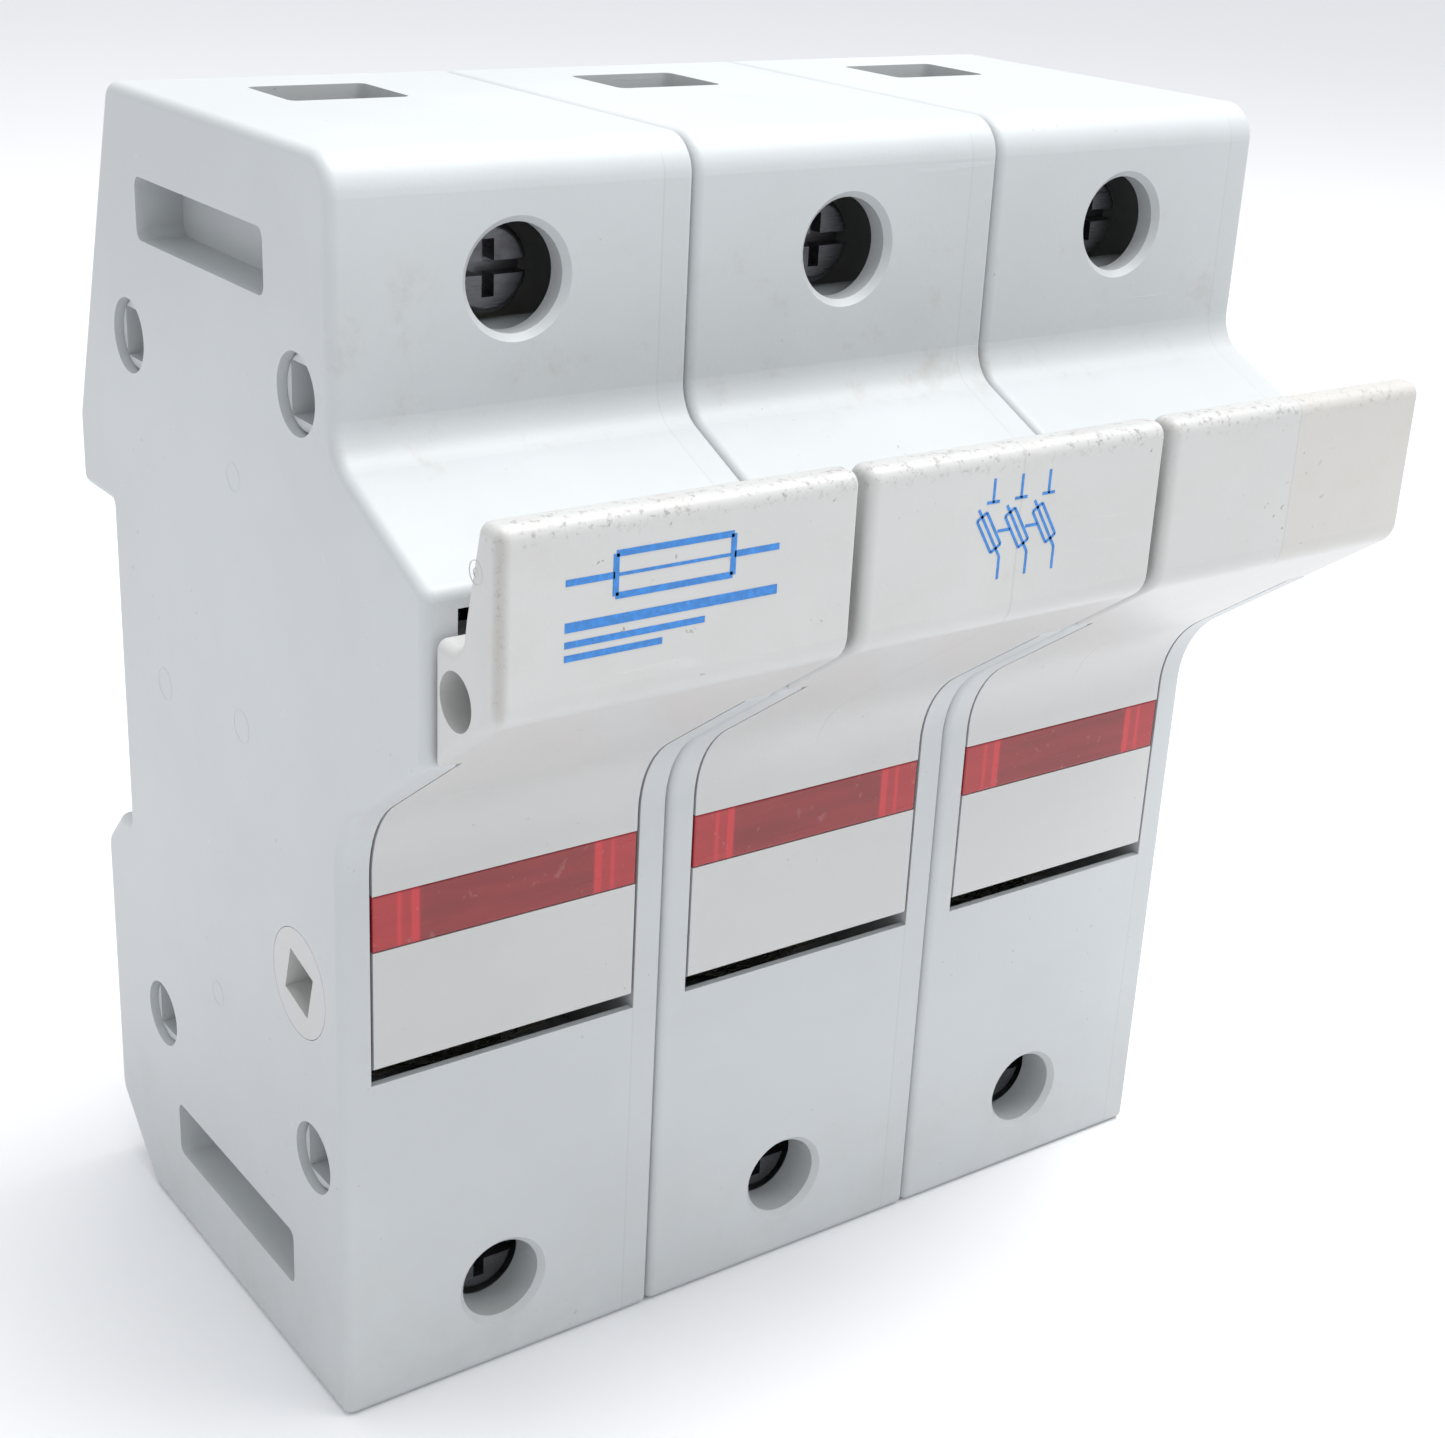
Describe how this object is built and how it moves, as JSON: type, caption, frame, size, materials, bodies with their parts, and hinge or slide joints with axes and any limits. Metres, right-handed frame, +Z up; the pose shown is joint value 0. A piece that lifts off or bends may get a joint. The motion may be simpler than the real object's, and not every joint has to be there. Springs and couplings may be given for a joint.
{
  "type": "cartridge fuse holder",
  "caption": "Three-pole cartridge fuse holder for a DIN rail, with a swing-out carrier, indicator windows and screw clamp terminals.",
  "frame": {"origin": "middle of the bounding box's footprint, on the underside", "axes": "+Z up along the height, -Y towards the front, +X to the right seen from the front"},
  "size_m": [0.1048, 0.083, 0.121],
  "materials": {
    "housing": "fine moulded",
    "cover": "fine moulded",
    "carrier": "fine moulded",
    "foot_plastic": "fine moulded",
    "pin_plastic": "fine moulded",
    "red_lens": "polished",
    "lamp_glass": "clear glass with leads",
    "board": "lacquered laminate",
    "fuse_body": "glazed ceramic",
    "nickel": "nickel plated",
    "copper": "silver plated copper",
    "screw_steel": "zinc plated",
    "cage_steel": "yellow passivated",
    "spring_steel": "bright"
  },
  "bodies": {
    "housing": {"housing_base_left": "housing", "housing_cover_left": "cover", "housing_pins_left": "pin_plastic", "upper_contact_left": "copper", "lower_contact_left": "copper", "foot_spring_left": "spring_steel", "housing_base_centre": "housing", "housing_cover_centre": "cover", "housing_pins_centre": "pin_plastic", "upper_contact_centre": "copper", "lower_contact_centre": "copper", "foot_spring_centre": "spring_steel", "housing_base_right": "housing", "housing_cover_right": "cover", "housing_pins_right": "pin_plastic", "upper_contact_right": "copper", "lower_contact_right": "copper", "foot_spring_right": "spring_steel"},
    "carriers": {"handle_tie_pins": "screw_steel", "pivot_links": "screw_steel", "fuse_carrier_left": "carrier", "indicator_lens_left": "red_lens", "neon_lamp_left": "lamp_glass", "indicator_board_left": "board", "indicator_springs_left": "spring_steel", "fuse_tube_left": "fuse_body", "fuse_caps_left": "nickel", "fuse_carrier_centre": "carrier", "indicator_lens_centre": "red_lens", "neon_lamp_centre": "lamp_glass", "indicator_board_centre": "board", "indicator_springs_centre": "spring_steel", "fuse_tube_centre": "fuse_body", "fuse_caps_centre": "nickel", "fuse_carrier_right": "carrier", "indicator_lens_right": "red_lens", "neon_lamp_right": "lamp_glass", "indicator_board_right": "board", "indicator_springs_right": "spring_steel", "fuse_tube_right": "fuse_body", "fuse_caps_right": "nickel"},
    "upper_screw_left": {"upper_screw_left": "screw_steel"},
    "lower_screw_left": {"lower_screw_left": "screw_steel"},
    "upper_cage_left": {"upper_cage_left": "cage_steel"},
    "lower_cage_left": {"lower_cage_left": "cage_steel"},
    "din_foot_left": {"din_foot_left": "foot_plastic"},
    "upper_screw_centre": {"upper_screw_centre": "screw_steel"},
    "lower_screw_centre": {"lower_screw_centre": "screw_steel"},
    "upper_cage_centre": {"upper_cage_centre": "cage_steel"},
    "lower_cage_centre": {"lower_cage_centre": "cage_steel"},
    "din_foot_centre": {"din_foot_centre": "foot_plastic"},
    "upper_screw_right": {"upper_screw_right": "screw_steel"},
    "lower_screw_right": {"lower_screw_right": "screw_steel"},
    "upper_cage_right": {"upper_cage_right": "cage_steel"},
    "lower_cage_right": {"lower_cage_right": "cage_steel"},
    "din_foot_right": {"din_foot_right": "foot_plastic"}
  },
  "joints": [
    {"name": "carriers_swing", "type": "hinge", "parent": "housing", "child": "carriers", "pos_m": [0, -0.00695, 0.0442], "axis": [1, 0, 0], "range_deg": [0, 80]},
    {"name": "foot_slide_left", "type": "slide", "parent": "housing", "child": "din_foot_left", "axis": [0, 0, -1], "range_m": [0, 0.003], "stiffness_N_per_m": 400, "springref_m": -0.004, "deforming": ["foot_spring_left"]},
    {"name": "upper_screw_turn_left", "type": "hinge", "parent": "housing", "child": "upper_screw_left", "pos_m": [-0.035, -0.00545, 0.11], "axis": [0, 1, 0], "range_deg": [0, 3604]},
    {"name": "upper_cage_slide_left", "type": "slide", "parent": "housing", "child": "upper_cage_left", "axis": [0, -1, 0], "range_m": [0, 0.008]},
    {"name": "lower_screw_turn_left", "type": "hinge", "parent": "housing", "child": "lower_screw_left", "pos_m": [-0.035, -0.00545, 0.0096], "axis": [0, 1, 0], "range_deg": [0, 3604]},
    {"name": "lower_cage_slide_left", "type": "slide", "parent": "housing", "child": "lower_cage_left", "axis": [0, -1, 0], "range_m": [0, 0.008]},
    {"name": "foot_slide_centre", "type": "slide", "parent": "housing", "child": "din_foot_centre", "axis": [0, 0, -1], "range_m": [0, 0.003], "stiffness_N_per_m": 400, "springref_m": -0.004, "deforming": ["foot_spring_centre"]},
    {"name": "upper_screw_turn_centre", "type": "hinge", "parent": "housing", "child": "upper_screw_centre", "pos_m": [0, -0.00545, 0.11], "axis": [0, 1, 0], "range_deg": [0, 3604]},
    {"name": "upper_cage_slide_centre", "type": "slide", "parent": "housing", "child": "upper_cage_centre", "axis": [0, -1, 0], "range_m": [0, 0.008]},
    {"name": "lower_screw_turn_centre", "type": "hinge", "parent": "housing", "child": "lower_screw_centre", "pos_m": [0, -0.00545, 0.0096], "axis": [0, 1, 0], "range_deg": [0, 3604]},
    {"name": "lower_cage_slide_centre", "type": "slide", "parent": "housing", "child": "lower_cage_centre", "axis": [0, -1, 0], "range_m": [0, 0.008]},
    {"name": "foot_slide_right", "type": "slide", "parent": "housing", "child": "din_foot_right", "axis": [0, 0, -1], "range_m": [0, 0.003], "stiffness_N_per_m": 400, "springref_m": -0.004, "deforming": ["foot_spring_right"]},
    {"name": "upper_screw_turn_right", "type": "hinge", "parent": "housing", "child": "upper_screw_right", "pos_m": [0.035, -0.00545, 0.11], "axis": [0, 1, 0], "range_deg": [0, 3604]},
    {"name": "upper_cage_slide_right", "type": "slide", "parent": "housing", "child": "upper_cage_right", "axis": [0, -1, 0], "range_m": [0, 0.008]},
    {"name": "lower_screw_turn_right", "type": "hinge", "parent": "housing", "child": "lower_screw_right", "pos_m": [0.035, -0.00545, 0.0096], "axis": [0, 1, 0], "range_deg": [0, 3604]},
    {"name": "lower_cage_slide_right", "type": "slide", "parent": "housing", "child": "lower_cage_right", "axis": [0, -1, 0], "range_m": [0, 0.008]}
  ],
  "couplings": [
    {"joint": "upper_screw_turn_left", "follows": "upper_cage_slide_left", "rad_per_m": 7854},
    {"joint": "lower_screw_turn_left", "follows": "lower_cage_slide_left", "rad_per_m": 7854},
    {"joint": "upper_screw_turn_centre", "follows": "upper_cage_slide_centre", "rad_per_m": 7854},
    {"joint": "lower_screw_turn_centre", "follows": "lower_cage_slide_centre", "rad_per_m": 7854},
    {"joint": "upper_screw_turn_right", "follows": "upper_cage_slide_right", "rad_per_m": 7854},
    {"joint": "lower_screw_turn_right", "follows": "lower_cage_slide_right", "rad_per_m": 7854}
  ]
}
